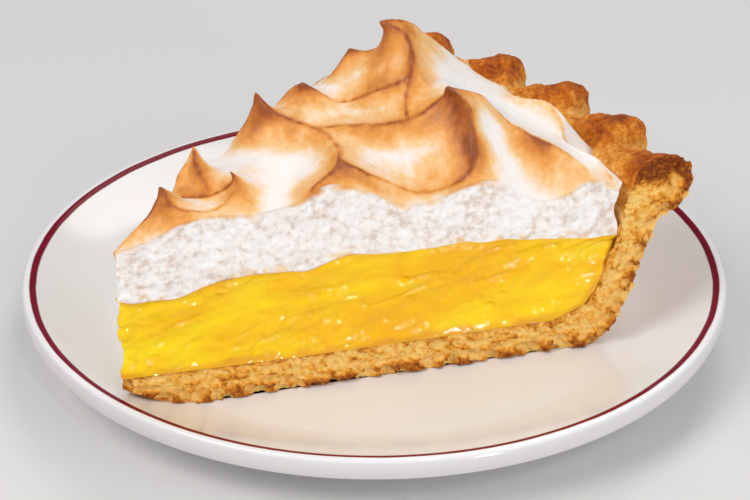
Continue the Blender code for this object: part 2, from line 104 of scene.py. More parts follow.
# Meringue peaks and the crests between them.
PEAKS = {
    "summit": (66.2, 29.6, 69),
    "front_curl": (77, 13.5, 60),
    "left_horn": (36.9, 24, 58.5),
    "round_knob": (47, 27, 58),
    "summit_shoulder": (59.3, 36, 60.6),
    "tip_horn": (21.6, 14, 52.8),
    "tip_curl": (13.6, 6, 48.5),
    "small_curl": (29, 8.5, 49),
    "edge_tooth": (49.8, 4, 50.3),
    "right_tooth": (92.6, 7.5, 48),
    "rim_curl": (99, 22, 49.8),
    "far_horn": (71, 51, 52.5),
    "far_rim_curl": (84, 54, 49.5),
    "far_knob": (50, 39, 50),
    "back_curl": (80, 44, 53),
}
CRESTS = [
    [(1.5, 0.7, 37.3), (5, 2.4, 39.8), (9.2, 4.4, 42.6), (11.5, 5.2, 45.4), "tip_curl"],
    ["tip_curl", (15.5, 7, 45.8), (17.6, 8.5, 43.6), (23.3, 7.5, 44), (27.4, 8, 46), "small_curl"],
    ["tip_curl", (13.6, 3, 46), (16.4, 2, 44.3), (20.6, 2, 43.3), (24.2, 3, 43.8),
     (27.6, 4.8, 46.2), "small_curl"],
    ["tip_horn", (21, 12, 50), (21.3, 10.5, 47.6), (22.8, 8.5, 44.5)],
    ["tip_horn", (19.9, 14.2, 49.6), (17.3, 12.8, 46.9)],
    ["left_horn", (38.6, 23, 55), (40.9, 21.5, 53.3), (46.7, 17, 51.6), (48.8, 14, 51.1),
     (50, 9.5, 50.1), "edge_tooth"],
    ["left_horn", (35.2, 24.6, 54), (33.6, 25, 50.4), (31.4, 25.8, 46.6)],
    ["edge_tooth", (53.9, 3, 47.3), (57.1, 3, 45.3), (60.5, 2.5, 43.3), (64, 2.2, 41.5),
     (68.2, 2, 41.3), (71.5, 1.6, 42.4), (73.9, 1.6, 43.6), (75.8, 2, 46.5), (77.2, 6, 52),
     (77.1, 10, 58), "front_curl"],
    ["edge_tooth", (47.5, 3, 48.8), (42.2, 1, 46.4)],
    ["round_knob", (51.5, 25, 54.6), (54.9, 25, 52.7), (61.3, 23, 55.5), (67.9, 21.5, 58)],
    ["round_knob", (45, 29.5, 55.5), (42.3, 31, 52)],
    ["summit_shoulder", (57, 34.8, 58), (54.3, 35, 54.4)],
    ["summit_shoulder", (62.4, 34, 59.9), (65.1, 32, 62.8), "summit"],
    ["summit", (69.3, 30, 68.6), (72, 31.3, 66.2), (75.2, 33, 62.8), (81.5, 36, 56.7),
     (87.5, 35.5, 51.5), (92.9, 34, 48)],
    ["summit", (69.5, 27, 65), (69.2, 22.5, 61.8), (67.9, 21, 57.7), (66.7, 19, 54.9),
     (66, 15.5, 52)],
    [(46.7, 17, 51.6), (51.3, 16, 52), (60.5, 15, 51.7), (66, 15.2, 52), (69.8, 15, 53.5),
     (72.8, 15, 55.9), "front_curl"],
    ["front_curl", (81.4, 14, 56.7), (84.1, 14, 53.2), (87.2, 12, 50), "right_tooth",
     (98, 5, 44.7), (101, 2, 41.6)],
    ["rim_curl", (94, 25, 49.4), (92.9, 34, 48)],
    ["rim_curl", (100.3, 18, 47), (100.5, 12, 44.6), (104.5, 5, 42.8), (108, 1, 39)],
    ["summit_shoulder", (63, 42, 55.5), (67, 49, 53.5), "far_horn"],
    ["far_horn", (78, 52, 51.5), "far_rim_curl", (90, 52, 46.5)],
    ["far_knob", (47, 37, 51.5), (45, 29.5, 55.5)],
    ["far_knob", (57, 45, 50.5), (63, 42, 55.5)],
    ["back_curl", (76.5, 46, 50.4), (73.5, 49, 50.6), "far_horn"],
    ["back_curl", (84, 41, 49.6), (88, 38.5, 48.6), (92.9, 34, 48)],
    ["back_curl", (82, 48.5, 48.8), "far_rim_curl"],
    [(84, 41, 49.6), (88.5, 43.5, 46.8), (93, 45, 45.4), (98, 44.5, 43.2)],
]
NEAR_EDGE = [(0, 37.3), (8.6, 39.5), (15.8, 42.6), (21.9, 43.0), (30, 42.5), (37, 43.5), (41, 45.1),
             (45.5, 47.0), (52.5, 44.7), (60, 40.7), (66, 40.5), (73.6, 42.9), (76.7, 43.7), (81, 43.1),
             (85.5, 39.7), (91, 37.1), (96.5, 38.2), (100.7, 40.6), (109, 38.0)]
FAR_EDGE = [(0, 36.6), (8, 37.4), (15, 38.6), (21, 40.6), (26, 41.8), (33, 43.4), (40, 41.6), (45, 41.8),
            (52, 43.4), (58, 45.2), (64, 43.2), (71, 44.0), (77, 42.6), (82, 40.6), (89, 41.2), (96, 43.8),
            (103, 41.4), (109, 38.6)]
OUTER_EDGE_HEIGHTS = (38.4, 37.6, 36.6, 37.4, 38.4, 38.4)
FILM_EDGE = 4.0  # how far the film's grid goes past the corner
FILM_SIZE = (118.0, 90.0)
FILM_STEPS = (2.0, 1.0, 0.5)
FILM_ROUNDS = 350
FILM_FIRST_HEIGHT = 45.0
FILM_SAG = 0.085
FILM_HOLD = 6.0

# Peaks that lean over: shift in X and Y at the top, how tall the bent part is and how wide.
LEANS = {
    "summit": (-2.2, -0.6, 4.0, 5.0),
    "front_curl": (-3.0, -0.8, 5.0, 6.0),
    "left_horn": (-0.6, 0.3, 4.0, 4.0),
    "tip_horn": (-0.4, 0.2, 3.0, 3.0),
    "tip_curl": (-0.9, 0.2, 3.0, 3.0),
    "small_curl": (-1.8, 0.4, 3.5, 3.0),
    "edge_tooth": (-0.8, 0.3, 3.0, 3.0),
}

# Extra browning at the tops of the peaks.
PEAK_TOAST_USUAL = 0.30
PEAK_TOAST = {"front_curl": 0.5, "tip_horn": 0.15, "right_tooth": 0.18, "rim_curl": 0.05, "far_rim_curl": 0.1}
PEAK_TOAST_SPREAD = 1.4
# Places where the skin is browner or paler than elsewhere: X, Y, spread and share.
TOAST_SPOTS = [
    (98, 22, 11, -0.55), (104, 6, 7, -0.8), (87, 9, 4, 0.35), (74, 9, 4.5, 0.5),
    (81.5, 8.5, 3.2, -0.9), (64, 26, 5, 0.4), (84, 38, 8, -0.6), (36, 18, 5, 0.4),
    (33, 9, 6, -0.3), (19.5, 15.5, 5, -0.6), (66.5, 26, 4, -0.5), (8, 2, 4, -0.35),
]
TOAST_DARKEST = 0.86


# -------------------- numbers and noise

def smooth_step(low, high, value):
    t = np.clip((value - low) / (high - low), 0.0, 1.0)
    return t * t * (3.0 - 2.0 * t)


def mix(a, b, share):
    return a + (b - a) * share


def cell_value(ix, iy, iz, seed):
    """A repeatable number from 0 to 1 for each whole-numbered cell."""
    n = ix * 73856093 ^ iy * 19349663 ^ iz * 83492791 ^ seed * 26544357
    n = (n ^ (n >> 13)) & 0xFFFFFFFF
    n = (n * 1274126177) & 0xFFFFFFFF
    n = (n ^ (n >> 16)) & 0xFFFFFFFF
    n = (n * 668265263) & 0xFFFFFFFF
    n ^= n >> 15
    return (n & 0xFFFFFF) / float(0xFFFFFF)


def noise(p, size, seed=0):
    """Smooth noise from -1 to 1 with features of about this size, at an array of points."""
    q = p / size
    base = np.floor(q).astype(np.int64)
    f = q - base
    f = f * f * f * (f * (f * 6.0 - 15.0) + 10.0)
    total = 0.0
    for dx in (0, 1):
        for dy in (0, 1):
            for dz in (0, 1):
                weight = ((f[:, 0] if dx else 1.0 - f[:, 0]) * (f[:, 1] if dy else 1.0 - f[:, 1])
                          * (f[:, 2] if dz else 1.0 - f[:, 2]))
                total = total + weight * cell_value(base[:, 0] + dx, base[:, 1] + dy, base[:, 2] + dz, seed)
    return total * 2.0 - 1.0


def layered_noise(p, size, seed=0, layers=3, fall=0.5):
    total, strength, whole = 0.0, 1.0, 0.0
    for layer in range(layers):
        total = total + strength * noise(p, size / 2.03**layer, seed + layer * 17)
        whole += strength
        strength *= fall
    return total / whole


def spots(p, size, seed=0, fill=1.0):
    """Distance to the nearest scattered spot, as a share of the cell size, and the spot's own number."""
    q = p / size
    base = np.floor(q).astype(np.int64)
    nearest = np.full(len(p), 9.0)
    chosen = np.zeros(len(p))
    for dx in (-1, 0, 1):
        for dy in (-1, 0, 1):
            for dz in (-1, 0, 1):
                cx, cy, cz = base[:, 0] + dx, base[:, 1] + dy, base[:, 2] + dz
                sx = cx + cell_value(cx, cy, cz, seed + 1)
                sy = cy + cell_value(cx, cy, cz, seed + 2)
                sz = cz + cell_value(cx, cy, cz, seed + 3)
                own = cell_value(cx, cy, cz, seed + 4)
                away = np.sqrt((q[:, 0] - sx) ** 2 + (q[:, 1] - sy) ** 2 + (q[:, 2] - sz) ** 2)
                away = np.where(own < fill, away, 9.0)
                closer = away < nearest
                nearest = np.where(closer, away, nearest)
                chosen = np.where(closer, own, chosen)
    return nearest, chosen


# -------------------- meshes

SLICE_COSINE, SLICE_SINE = math.cos(SLICE_ANGLE), math.sin(SLICE_ANGLE)
ALONG = (math.cos(SLICE_ANGLE / 2.0), -math.sin(SLICE_ANGLE / 2.0))
ACROSS = (math.sin(SLICE_ANGLE / 2.0), math.cos(SLICE_ANGLE / 2.0))


def to_world(p):
    """Points of the slice's frame, in millimetres, as points of the shared frame, in metres."""
    x = CORNER[0] + p[:, 0] * ALONG[0] + p[:, 1] * ACROSS[0]
    y = CORNER[1] + p[:, 0] * ALONG[1] + p[:, 1] * ACROSS[1]
    return np.stack([x, y, p[:, 2] + PLATE_FLOOR_HEIGHT], axis=1) * MM


def make_piece(name, vertices, faces, values=None, sharp_angle=60.0):
    """A smooth-shaded mesh object with one float attribute for each entry of values."""
    mesh = bpy.data.meshes.new(name)
    mesh.from_pydata(vertices.tolist(), [], faces)
    mesh.validate()
    for key, numbers in (values or {}).items():
        attribute = mesh.attributes.new(key, "FLOAT", "POINT")
        attribute.data.foreach_set("value", np.asarray(numbers, np.float32))
    mesh.shade_smooth()
    mesh.set_sharp_from_angle(angle=math.radians(sharp_angle))
    mesh.update()
    piece = bpy.data.objects.new(name, mesh)
    bpy.context.scene.collection.objects.link(piece)
    return piece


def vertex_normals(vertices, faces):
    """The outward direction at each vertex, as the mean over its faces by area."""
    triangles = []
    for face in faces:
        for i in range(1, len(face) - 1):
            triangles.append((face[0], face[i], face[i + 1]))
    triangles = np.array(triangles)
    a, b, c = (vertices[triangles[:, i]] for i in range(3))
    face_normals = np.cross(b - a, c - a)
    normals = np.zeros_like(vertices)
    for i in range(3):
        for axis in range(3):
            normals[:, axis] += np.bincount(triangles[:, i], face_normals[:, axis], len(vertices))
    return normals / np.maximum(np.linalg.norm(normals, axis=1), 1e-12)[:, None]


def grid_faces(ids):
    """Quads over a grid of vertex numbers, and triangles where two corners are one vertex."""
    a, b, c, d = ids[:-1, :-1], ids[1:, :-1], ids[1:, 1:], ids[:-1, 1:]
    faces = []
    for quad in np.stack([a, b, c, d], axis=-1).reshape(-1, 4).tolist():
        face = [corner for i, corner in enumerate(quad) if corner != quad[i - 1]]
        if len(set(face)) > 2:
            faces.append(face)
    return faces


PLAIN_BAND = 6  # cells between a hidden side's one plain face and the piece's edge


def lattice_skin(lattice, joined_end=False, plain_floor=0, plain_top=0):
    """The closed skin of a bent box, from its lattice of points [along, across, up].

    joined_end says that the last station along has no height. plain_floor and plain_top say over how
    many stations the underside and the top are hidden, so that one face inside a narrow band does.
    Returns the vertices, the faces and each vertex's place in the lattice.
    """
    count_i, count_j, count_k = lattice.shape[:3]
    skin = np.zeros((count_i, count_j, count_k), bool)
    skin[[0, -1]] = True
    skin[:, [0, -1]] = True
    skin[:, :, [0, -1]] = True
    for level, stations in ((0, plain_floor), (-1, plain_top)):
        if stations:
            skin[PLAIN_BAND:stations - PLAIN_BAND, PLAIN_BAND:-PLAIN_BAND, level] = False
    if joined_end:
        skin[-1, :, 1:] = False
        skin[-1, :, 0] = True
    ids = np.full(skin.shape, -1)
    ids[skin] = np.arange(skin.sum())
    if joined_end:
        ids[-1, :, :] = ids[-1, :, :1]
    faces = grid_faces(ids[:, 0, ::-1])
    faces += grid_faces(ids[:, -1, :])
    faces += grid_faces(ids[0, :, :])
    if not joined_end:
        faces += grid_faces(ids[-1, :, ::-1])
    for level, stations in ((0, plain_floor), (-1, plain_top)):
        sheet = grid_faces(ids[:, :, level])
        if stations:
            near, far = PLAIN_BAND - 1, count_j - PLAIN_BAND + 1
            ring = ids[near:stations - PLAIN_BAND + 1, near:far, level]
            loop = list(ring[:, 0]) + list(ring[-1, 1:]) + list(ring[-2::-1, -1]) + list(ring[0, -2:0:-1])
            sheet = [face for face in sheet if min(face) >= 0] + [[int(corner) for corner in loop]]
        faces += [face[::-1] for face in sheet] if level == 0 else sheet
    return lattice[skin], faces, np.argwhere(skin)


def on_cut(place):
    """Which vertices of a lattice's skin lie on one of the cuts or on the tip between them."""
    return (place[:, 1] == 0) | (place[:, 1] == place[:, 1].max()) | (place[:, 0] == 0)


def share_up(place):
    """How far up its lattice each vertex lies, from 0 to 1."""
    return place[:, 2] / place[:, 2].max()


def from_corner(p):
    return np.hypot(p[:, 0], p[:, 1])


def plan(distance, side, tip):
    """X and Y of a point at a distance from the corner, with side from 0 at the near cut to 1 at the far."""
    radius, push = tip
    half = SLICE_ANGLE / 2.0
    start = radius / math.tan(half)
    centre = radius / math.sin(half)
    turned = math.pi + half + (0.5 - side) * (math.pi - SLICE_ANGLE)
    bulge = push * (1.0 - (2.0 * side - 1.0) ** 2)
    tip_x = (centre - bulge) * math.cos(half) + radius * np.cos(turned)
    tip_y = (centre - bulge) * math.sin(half) + radius * np.sin(turned)
    angle = side * SLICE_ANGLE
    share = (distance - start) / (REFERENCE_RADIUS - start)
    return (mix(tip_x, REFERENCE_RADIUS * np.cos(angle), share),
            mix(tip_y, REFERENCE_RADIUS * np.sin(angle), share))


def start_of(tip):
    """Distance from the corner at which the straight sides begin."""
    return tip[0] / math.tan(SLICE_ANGLE / 2.0)


# -------------------- the meringue's film

def place_of(stop):
    return PEAKS[stop] if isinstance(stop, str) else stop


def dense(stops, spacing=0.25):
    """A chain of (x, y, z) stops as closely spaced points on a curve through them."""
    stops = np.array(stops, float)
    ends = np.concatenate([2 * stops[:1] - stops[1:2], stops, 2 * stops[-1:] - stops[-2:-1]])
    rows = []
    for i in range(len(stops) - 1):
        p0, p1, p2, p3 = ends[i:i + 4]
        count = max(2, int(np.linalg.norm(p2 - p1) / spacing))
        t = np.linspace(0.0, 1.0, count, endpoint=False)[:, None]
        rows.append(0.5 * (2 * p1 + (p2 - p0) * t + (2 * p0 - 5 * p1 + 4 * p2 - p3) * t**2
                           + (3 * p1 - p0 - 3 * p2 + p3) * t**3))
    rows.append(stops[-1:])
    return np.concatenate(rows)


def holding_points():
    """Points of the crests and of the top's edges, which hold the film up."""
    chains = [[place_of(stop) for stop in crest] for crest in CRESTS]
    chains.append([(distance, 0.0, height) for distance, height in NEAR_EDGE])
    chains.append([(distance * SLICE_COSINE, distance * SLICE_SINE, height) for distance, height in FAR_EDGE])
    angles = np.linspace(0.0, SLICE_ANGLE, len(OUTER_EDGE_HEIGHTS))
    chains.append(np.stack([REFERENCE_RADIUS * np.cos(angles), REFERENCE_RADIUS * np.sin(angles),
                            OUTER_EDGE_HEIGHTS], axis=1))
    return np.concatenate([dense(chain) for chain in chains])


def film():
    """Heights of the meringue's top: a film hung from the crests that sags between them."""
    held = holding_points()
    heights = None
    for step in FILM_STEPS:
        count_x, count_y = (int(size / step) + 1 for size in FILM_SIZE)
        u, v = (held[:, 0] + FILM_EDGE) / step, (held[:, 1] + FILM_EDGE) / step
        i, j = u.astype(int), v.astype(int)
        hold, target = np.zeros(count_x * count_y), np.zeros(count_x * count_y)
        for di in (0, 1):
            for dj in (0, 1):
                weight = FILM_HOLD * np.abs(1 - di - (u - i)) * np.abs(1 - dj - (v - j))
                cell = (i + di) * count_y + (j + dj)
                hold += np.bincount(cell, weight, len(hold))
                target += np.bincount(cell, weight * held[:, 2], len(hold))
        hold, target = hold.reshape(count_x, count_y), target.reshape(count_x, count_y)
        if heights is None:
            heights = np.full((count_x, count_y), FILM_FIRST_HEIGHT)
        else:
            rows = np.linspace(0, heights.shape[0] - 1, count_x)
            columns = np.linspace(0, heights.shape[1] - 1, count_y)
            heights = np.stack([np.interp(rows, np.arange(len(line)), line) for line in heights.T], axis=1)
            heights = np.stack([np.interp(columns, np.arange(len(line)), line) for line in heights])
        for _ in range(FILM_ROUNDS):
            padded = np.pad(heights, 1, mode="edge")
            around = padded[:-2, 1:-1] + padded[2:, 1:-1] + padded[1:-1, :-2] + padded[1:-1, 2:]
            heights = (around - FILM_SAG * step**2 + target) / (4.0 + hold)
    return heights


def blurred(field, spread):
    """The field smoothed over this many millimetres."""
    step = FILM_STEPS[-1]
    reach = int(3 * spread / step)
    kernel = np.exp(-0.5 * (np.arange(-reach, reach + 1) * step / spread) ** 2)
    kernel /= kernel.sum()
    padded = np.pad(field, reach, mode="edge")
    padded = np.stack([np.convolve(line, kernel, "valid") for line in padded], axis=0)
    return np.stack([np.convolve(line, kernel, "valid") for line in padded.T], axis=1)


def sample(field, x, y):
    """The film's field at points, by cubic interpolation."""
    step = FILM_STEPS[-1]
    u = np.clip((x + FILM_EDGE) / step, 1.0, field.shape[0] - 3.001)
    v = np.clip((y + FILM_EDGE) / step, 1.0, field.shape[1] - 3.001)
    i, j = u.astype(int), v.astype(int)

    def weights(t):
        return (-0.5 * t + t**2 - 0.5 * t**3, 1 - 2.5 * t**2 + 1.5 * t**3,
                0.5 * t + 2 * t**2 - 1.5 * t**3, -0.5 * t**2 + 0.5 * t**3)

    total = 0.0
    for a, wx in enumerate(weights(u - i)):
        for b, wy in enumerate(weights(v - j)):
            total = total + wx * wy * field[i + a - 1, j + b - 1]
    return total


# -------------------- layer limits

def curve_through(stops, distance):
    """A smooth height curve through (distance, height) stops."""
    line = dense([(d, 0.0, h) for d, h in stops], spacing=0.5)
    order = np.argsort(line[:, 0])
    return np.interp(distance, line[order, 0], line[order, 2])


def filling_top(x, y):
    distance = np.hypot(x, y)
    angle = np.arctan2(y, np.maximum(x, 1e-6))
    flat = np.stack([x, y, np.zeros_like(x)], axis=-1).reshape(-1, 3)
    wander = noise(flat, 13.0, 41).reshape(x.shape) * smooth_step(0.02, 0.3, angle) * 1.1
    return curve_through(FILLING_TOP, distance) + wander + 0.45 * noise(flat, 4.6, 43).reshape(x.shape)


def inner_wall_distance(height):
    wall = [CRUST_FLOOR[-1]] + CRUST_INNER_WALL
    return np.interp(height, [h for _, h in wall], [d for d, _ in wall])


def crowns(angle):
    """1 at the crowns of the fluted rim, -1 in its valleys."""
    turned = 2.0 * math.pi * (angle - FLUTE_PHASE) / FLUTE_PITCH
    return np.cos(turned + FLUTE_SKEW * np.cos(turned))


def flute(angle, height, distance):
    """Where the fluted rim moves a point of the crust's section: (distance, height)."""
    drop = smooth_step(FLUTE_START, FLUTE_FULL, height) * (crowns(angle) - 1.0)
    drop = drop * (1.0 + 0.12 * np.sin((angle - SLICE_ANGLE / 2.0) * 9.0 + 1.0))
    return distance + FLUTE_REACH * drop, height + FLUTE_DROP * drop / 2.0


def plate_top(radius):
    beyond = np.clip((radius - PLATE_FLOOR_RADIUS) / (RIM_RADIUS - PLATE_FLOOR_RADIUS), 0.0, 1.0)
    return PLATE_FLOOR_HEIGHT + RIM_RISE * beyond**RIM_CURVE


def resting_height(x, y):
    """Height above the floor at which something just clears the plate, at a place in the slice's frame."""
    world_x = CORNER[0] + x * ALONG[0] + y * ACROSS[0]
    world_y = CORNER[1] + x * ALONG[1] + y * ACROSS[1]
    return plate_top(np.hypot(world_x, world_y)) - PLATE_FLOOR_HEIGHT + GAP


# -------------------- materials

class Shader:
    """A material's node tree, with short ways to add what the materials below use."""

    def __init__(self, name):
        self.material = bpy.data.materials.new(name)
        self.material.use_nodes = True
        self.tree = self.material.node_tree
        self.out = self.tree.nodes["Principled BSDF"]

    def add(self, kind, **settings):
        made = self.tree.nodes.new("ShaderNode" + kind)
        for key, value in settings.items():
            setattr(made, key, value)
        return made

    def put(self, socket, value):
        if isinstance(value, bpy.types.NodeSocket):
            self.tree.links.new(value, socket)
        else:
            socket.default_value = value

    def place(self):
        return self.add("TexCoord").outputs["Object"]

    def stretched(self, vector, scale, turn):
        mapping = self.add("Mapping")
        self.put(mapping.inputs["Vector"], vector)
        mapping.inputs["Scale"].default_value = scale
        mapping.inputs["Rotation"].default_value = turn
        return mapping.outputs["Vector"]

    def noise(self, vector, size, detail=3.0, rough=0.5, distortion=0.0):
        """Noise with features of about this many millimetres."""
        texture = self.add("TexNoise")
        self.put(texture.inputs["Vector"], vector)
        texture.inputs["Scale"].default_value = 1.0 / (size * MM)
        texture.inputs["Detail"].default_value = detail
        texture.inputs["Roughness"].default_value = rough
        texture.inputs["Distortion"].default_value = distortion
        return texture.outputs["Fac"]

    def even_noise(self, vector, size, **settings):
        """The same noise about zero."""
        return self.math("SUBTRACT", self.noise(vector, size, **settings), 0.5)

    def value(self, name):
        return self.add("Attribute", attribute_name=name).outputs["Fac"]

    def math(self, operation, a, b=0.0, clamp=False):
        made = self.add("Math", operation=operation, use_clamp=clamp)
        for socket, value in zip(made.inputs, (a, b)):
            self.put(socket, value)
        return made.outputs[0]

    def ranged(self, value, low, high, new_low=0.0, new_high=1.0):
        made = self.add("MapRange", interpolation_type="SMOOTHSTEP")
        for socket, number in zip(made.inputs, (value, low, high, new_low, new_high)):
            self.put(socket, number)
        return made.outputs[0]

    def ramp(self, value, stops):
        made = self.add("ValToRGB")
        elements = made.color_ramp.elements
        while len(elements) < len(stops):
            elements.new(0.5)
        for element, (position, colour) in zip(elements, stops):
            element.position = position
            element.color = (*colour, 1.0)
        self.put(made.inputs["Fac"], value)
        return made.outputs["Color"]

    def plus(self, value, added, share, clamp=False):
        """value + added * share."""
        return self.math("ADD", value, self.math("MULTIPLY", added, share), clamp=clamp)

    def blend(self, a, b, share):
        made = self.add("Mix", data_type="RGBA")
        self.put(made.inputs[0], share)
        for socket, colour in ((made.inputs[6], a), (made.inputs[7], b)):
            self.put(socket, colour if isinstance(colour, bpy.types.NodeSocket) else (*colour, 1.0))
        return made.outputs[2]

    def bump(self, height, strength, depth):
        made = self.add("Bump")
        made.inputs["Strength"].default_value = strength
        made.inputs["Distance"].default_value = depth * MM
        self.put(made.inputs["Height"], height)
        return made.outputs["Normal"]

    def finish(self, **inputs):
        for key, value in inputs.items():
            self.put(self.out.inputs[key.replace("_", " ")], value)
        return self.material


def glaze_material():
    """Warm white glaze with a burgundy line round the rim."""
    shader = Shader("glazed_china")
    place = shader.place()
    parts = shader.add("SeparateXYZ")
    shader.put(parts.inputs[0], place)
    x, y = parts.outputs["X"], parts.outputs["Y"]
    radius = shader.math("SQRT", shader.plus(shader.math("MULTIPLY", x, x), y, y))
    wavy = shader.plus(radius, shader.even_noise(place, 9.0), 0.35 * MM)
    off_line = shader.math("ABSOLUTE", shader.math("SUBTRACT", wavy, LINE_RADIUS * MM))
    line = shader.ranged(off_line, (LINE_WIDTH / 2 - 0.22) * MM, (LINE_WIDTH / 2 + 0.12) * MM, 1.0, 0.0)
    above = shader.ranged(parts.outputs["Z"], 11.5 * MM, 12.5 * MM)
    line = shader.math("MULTIPLY", line, above)
    cloud = shader.noise(place, 26.0, detail=2.0)
    white = shader.ramp(cloud, [(0.3, (0.83, 0.82, 0.825)), (0.7, (0.87, 0.865, 0.87))])
    paint = shader.ramp(shader.noise(place, 1.5, detail=4.0),
                        [(0.3, (0.15, 0.0, 0.010)), (0.7, (0.24, 0.001, 0.024))])
    # Painted shade: the glaze turns grey at the outer edge of the rolled rim.
    edge = shader.ranged(radius, 78.5 * MM, 79.2 * MM)
    white = shader.blend(white, (0.66, 0.64, 0.635), edge)
    colour = shader.blend(white, paint, line)
    ripple = shader.bump(shader.noise(place, 14.0, detail=1.0), 0.25, 0.10)
    rough = shader.ranged(shader.noise(place, 3.0, detail=4.0), 0.3, 0.7, 0.10, 0.17)
    gloss = shader.ranged(line, 0.0, 1.0, 0.4, 0.07)
    return shader.finish(Base_Color=colour, Roughness=rough, Normal=ripple, Specular_IOR_Level=gloss)


def meringue_material():
    """White foam at the cuts, and a skin that goes from cream through tan to dark brown."""
    shader = Shader("toasted_meringue")
    place = shader.place()
    toast = shader.value("toast")
    strength = shader.ranged(toast, 0.04, 0.35, 0.08, 0.30)
    browned = shader.plus(toast, shader.even_noise(place, 1.3, detail=5.0, rough=0.65), strength)
    browned = shader.plus(browned, shader.even_noise(place, 6.0), strength, clamp=True)
    skin = shader.ramp(browned, [
        (0.00, (0.90, 0.865, 0.845)),
        (0.10, (0.90, 0.83, 0.78)),
        (0.24, (0.88, 0.56, 0.26)),
        (0.42, (0.80, 0.35, 0.075)),
        (0.60, (0.62, 0.22, 0.04)),
        (0.80, (0.38, 0.10, 0.020)),
        (1.00, (0.17, 0.04, 0.012)),
    ])
    grain = shader.math("MULTIPLY", shader.noise(place, 1.5, detail=4.0, rough=0.65), 0.65)
    grain = shader.plus(grain, shader.noise(place, 5.0, detail=2.0), 0.35)
    foam = shader.ramp(grain, [
        (0.38, (0.68, 0.57, 0.49)),
        (0.47, (0.84, 0.785, 0.75)),
        (0.57, (0.89, 0.875, 0.865)),
    ])
    # Painted shade: the foam is coloured darker beige in its pores and bubbles.
    foam = shader.blend(foam, (0.76, 0.62, 0.50), shader.math("MULTIPLY", shader.value("pit_shade"), 0.7))
    foam = shader.blend(foam, (0.84, 0.52, 0.20), shader.value("stain"))
    colour = shader.blend(skin, foam, shader.value("cut"))
    fine = shader.bump(shader.noise(place, 1.1, detail=4.0, rough=0.65), 0.45, 0.18)
    rough = shader.ranged(toast, 0.1, 0.7, 0.60, 0.36)
    return shader.finish(Base_Color=colour, Roughness=rough, Normal=fine, Specular_IOR_Level=0.3,
                         Subsurface_Weight=0.15, Subsurface_Radius=(1.0, 0.75, 0.6), Subsurface_Scale=0.002)


def filling_material():
    """Glossy translucent lemon gel."""
    shader = Shader("lemon_curd")
    place = shader.place()
    layered = shader.stretched(place, (0.45, 0.45, 1.0), (0.0, 0.35, 0.0))
    band = shader.noise(layered, 9.0, detail=2.0, distortion=0.8)
    deep = shader.ramp(band, [
        (0.32, (0.92, 0.47, 0.0)),
        (0.50, (0.95, 0.56, 0.0)),
        (0.68, (0.99, 0.66, 0.001)),
    ])
    # Paler at the tip, and paler on the crests of the waves as a painted highlight.
    colour = shader.blend(deep, (1.0, 0.71, 0.005), shader.value("pale"))
    # Browner where it soaks into the crust, and darker along the top as painted shade under the meringue.
    colour = shader.blend(colour, (0.80, 0.36, 0.015), shader.value("soak_and_shade"))
    bumps = shader.bump(shader.noise(place, 1.9, detail=1.0), 0.7, 0.65)
    rough = shader.ranged(shader.noise(place, 2.2), 0.35, 0.7, 0.05, 0.13)
    return shader.finish(Base_Color=colour, Roughness=rough, Normal=bumps, Subsurface_Weight=0.35,
                         Subsurface_Radius=(1.0, 0.5, 0.06), Subsurface_Scale=0.0012, Coat_Weight=0.12,
                         Coat_Roughness=0.03, Specular_IOR_Level=0.33)


def crust_material():
    """Baked short crust: pale flaky inside, golden outside, browner on the flute tops."""
    shader = Shader("baked_crust")
    place = shader.place()
    speck = shader.even_noise(place, 0.9, detail=4.0, rough=0.65)
    baked = shader.math("ADD", shader.value("bake"), shader.even_noise(place, 3.0, detail=5.0, rough=0.65))
    baked = shader.plus(baked, speck, 0.9, clamp=True)
    outside = shader.ramp(baked, [
        (0.00, (0.95, 0.60, 0.23)),
        (0.25, (0.87, 0.37, 0.050)),
        (0.50, (0.64, 0.17, 0.008)),
        (0.75, (0.42, 0.09, 0.004)),
        (1.00, (0.20, 0.03, 0.002)),
    ])
    # The cut's colour: its own tones, painted shade in the fissures and between the crumbs, and painted
    # highlights on the flakes, the raised rough bits and the crumb tops.
    inside = shader.ramp(shader.plus(shader.value("cut_tone_and_shade"), speck, 1.5, clamp=True), [
        (0.0, (1.0, 0.66, 0.20)),
        (0.35, (0.91, 0.41, 0.045)),
        (0.62, (0.58, 0.19, 0.013)),
        (1.0, (0.22, 0.04, 0.003)),
    ])
    colour = shader.blend(outside, inside, shader.value("cut"))
    fine = shader.bump(shader.noise(place, 0.9, detail=5.0, rough=0.7), 1.0, 0.55)
    rough = shader.ranged(shader.noise(place, 2.0), 0.3, 0.7, 0.50, 0.75)
    return shader.finish(Base_Color=colour, Roughness=rough, Normal=fine, Specular_IOR_Level=0.2)


# -------------------- pieces

def finish_piece(piece, node, material):
    piece.data.materials.append(material)
    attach(piece, "root")
    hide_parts(node)


